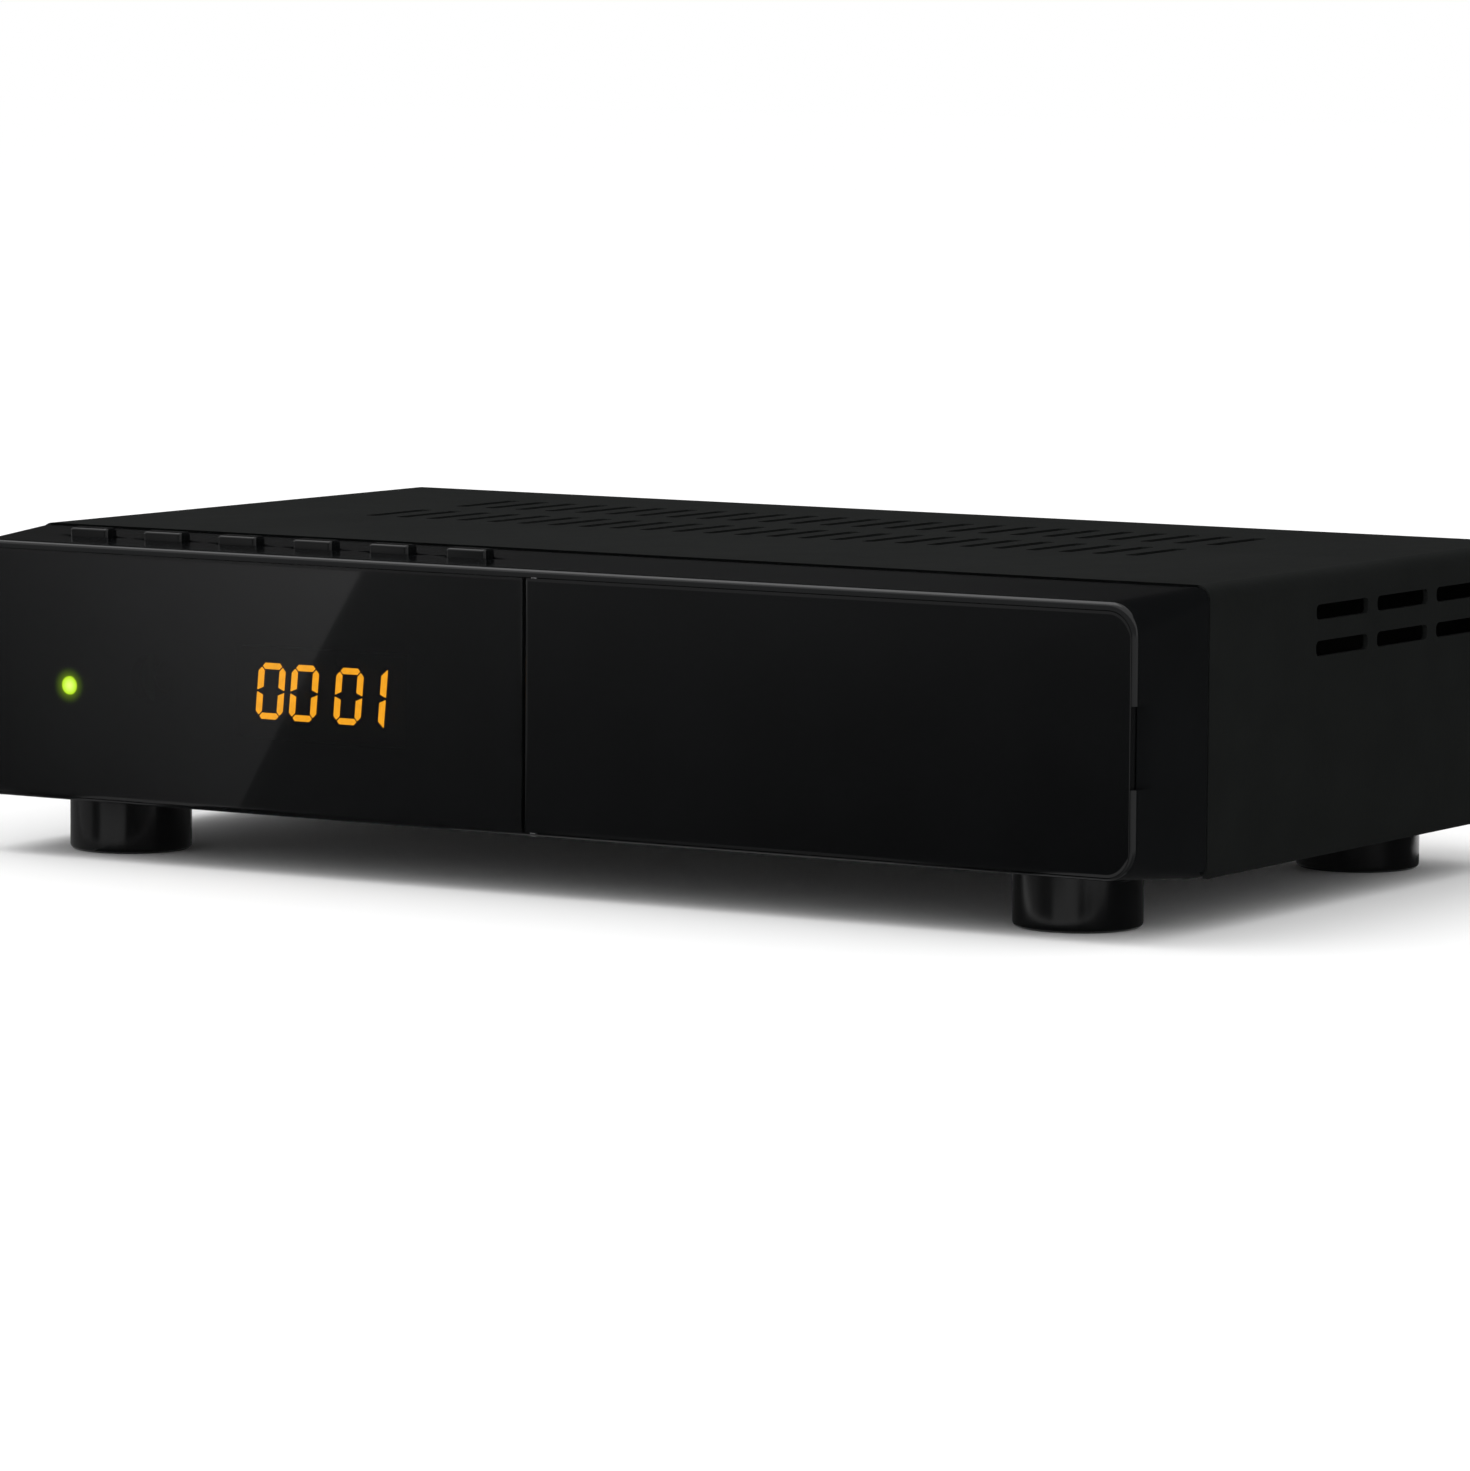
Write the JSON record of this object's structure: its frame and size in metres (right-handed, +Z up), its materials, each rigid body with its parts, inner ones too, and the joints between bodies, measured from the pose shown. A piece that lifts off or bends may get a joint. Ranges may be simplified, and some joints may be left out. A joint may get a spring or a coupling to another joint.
{
  "type": "satellite tv receiver",
  "caption": "Compact satellite receiver: vented steel cover, moulded front with smoked display window, hinged flap, deck buttons, round feet and rear sockets.",
  "frame": {"origin": "on the table under the middle of the receiver's box, rear aerial thread included", "axes": "+X along the front from left to right, +Y from the front to the rear sockets, +Z up"},
  "size_m": [0.22, 0.141, 0.0535],
  "materials": {
    "cover_steel": "fine satin black powder coat",
    "tray_steel": "satin black",
    "bezel_plastic": "gloss black",
    "window_smoke": "polished smoked acrylic",
    "flap_plastic": "polished piano black",
    "button_plastic": "gloss black",
    "foot_plastic": "gloss black",
    "plunger_white": "satin",
    "socket_plastic": "matte black",
    "chip_black": "matte",
    "screw_steel": "zinc plated",
    "cover_screw_steel": "black oxide",
    "board_green": "solder mask",
    "amber_light": "lit amber",
    "green_light": "lit green",
    "clear_guide": "clear",
    "ribbon_white": "satin",
    "connector_white": "matte",
    "sink_aluminium": "anodised",
    "can_sleeve": "shrink sleeve with bare top",
    "socket_metal": "nickel plated",
    "audio_metal": "gold flashed",
    "insulator_white": "satin"
  },
  "bodies": {
    "root": {"top_cover": "cover_steel", "front_bezel": "bezel_plastic", "display_window": "window_smoke", "key_switches": "socket_plastic", "flap_hinge_pins": "screw_steel", "base_chassis": "tray_steel", "foot_front_left": "foot_plastic", "foot_front_right": "foot_plastic", "foot_rear_left": "foot_plastic", "foot_rear_right": "foot_plastic", "foot_screws": "screw_steel", "cover_screws": "cover_screw_steel", "main_board": "board_green", "board_screws": "screw_steel", "front_board": "board_green", "front_board_screws": "screw_steel", "display_module": "chip_black", "lit_segments": "amber_light", "status_led": "green_light", "led_light_guide": "clear_guide", "ir_receiver": "chip_black", "ribbon_cable": "ribbon_white", "ribbon_connectors": "connector_white", "main_chip": "chip_black", "heat_sink": "sink_aluminium", "memory_chips": "chip_black", "capacitors": "can_sleeve", "inductors": "chip_black", "tuner_can": "socket_metal", "lnb_connector": "socket_metal", "lnb_insulator": "insulator_white", "audio_socket_body": "socket_plastic", "audio_socket_barrel": "audio_metal", "hdmi_socket": "socket_metal", "hdmi_tongue": "socket_plastic", "ethernet_socket": "socket_plastic", "scart_socket": "socket_plastic", "dc_jack": "socket_plastic", "dc_jack_pin": "socket_metal", "usb_socket": "socket_metal", "usb_tongue": "insulator_white", "card_reader": "socket_plastic"},
    "flap": {"flap_door": "flap_plastic"},
    "key_1": {"button_1": "button_plastic", "plunger_1": "plunger_white"},
    "key_2": {"button_2": "button_plastic", "plunger_2": "plunger_white"},
    "key_3": {"button_3": "button_plastic", "plunger_3": "plunger_white"},
    "key_4": {"button_4": "button_plastic", "plunger_4": "plunger_white"},
    "key_5": {"button_5": "button_plastic", "plunger_5": "plunger_white"},
    "key_6": {"button_6": "button_plastic", "plunger_6": "plunger_white"}
  },
  "joints": [
    {"name": "flap_hinge", "type": "hinge", "parent": "root", "child": "flap", "pos_m": [0.0016, -0.0695, 0.03], "axis": [0, 0, -1], "range_deg": [0, 100]},
    {"name": "key_1_press", "type": "slide", "parent": "root", "child": "key_1", "axis": [0, 0, -1], "range_m": [0, 0.0007], "stiffness_N_per_m": 1000, "springref_m": -0.0003},
    {"name": "key_2_press", "type": "slide", "parent": "root", "child": "key_2", "axis": [0, 0, -1], "range_m": [0, 0.0007], "stiffness_N_per_m": 1000, "springref_m": -0.0003},
    {"name": "key_3_press", "type": "slide", "parent": "root", "child": "key_3", "axis": [0, 0, -1], "range_m": [0, 0.0007], "stiffness_N_per_m": 1000, "springref_m": -0.0003},
    {"name": "key_4_press", "type": "slide", "parent": "root", "child": "key_4", "axis": [0, 0, -1], "range_m": [0, 0.0007], "stiffness_N_per_m": 1000, "springref_m": -0.0003},
    {"name": "key_5_press", "type": "slide", "parent": "root", "child": "key_5", "axis": [0, 0, -1], "range_m": [0, 0.0007], "stiffness_N_per_m": 1000, "springref_m": -0.0003},
    {"name": "key_6_press", "type": "slide", "parent": "root", "child": "key_6", "axis": [0, 0, -1], "range_m": [0, 0.0007], "stiffness_N_per_m": 1000, "springref_m": -0.0003}
  ]
}
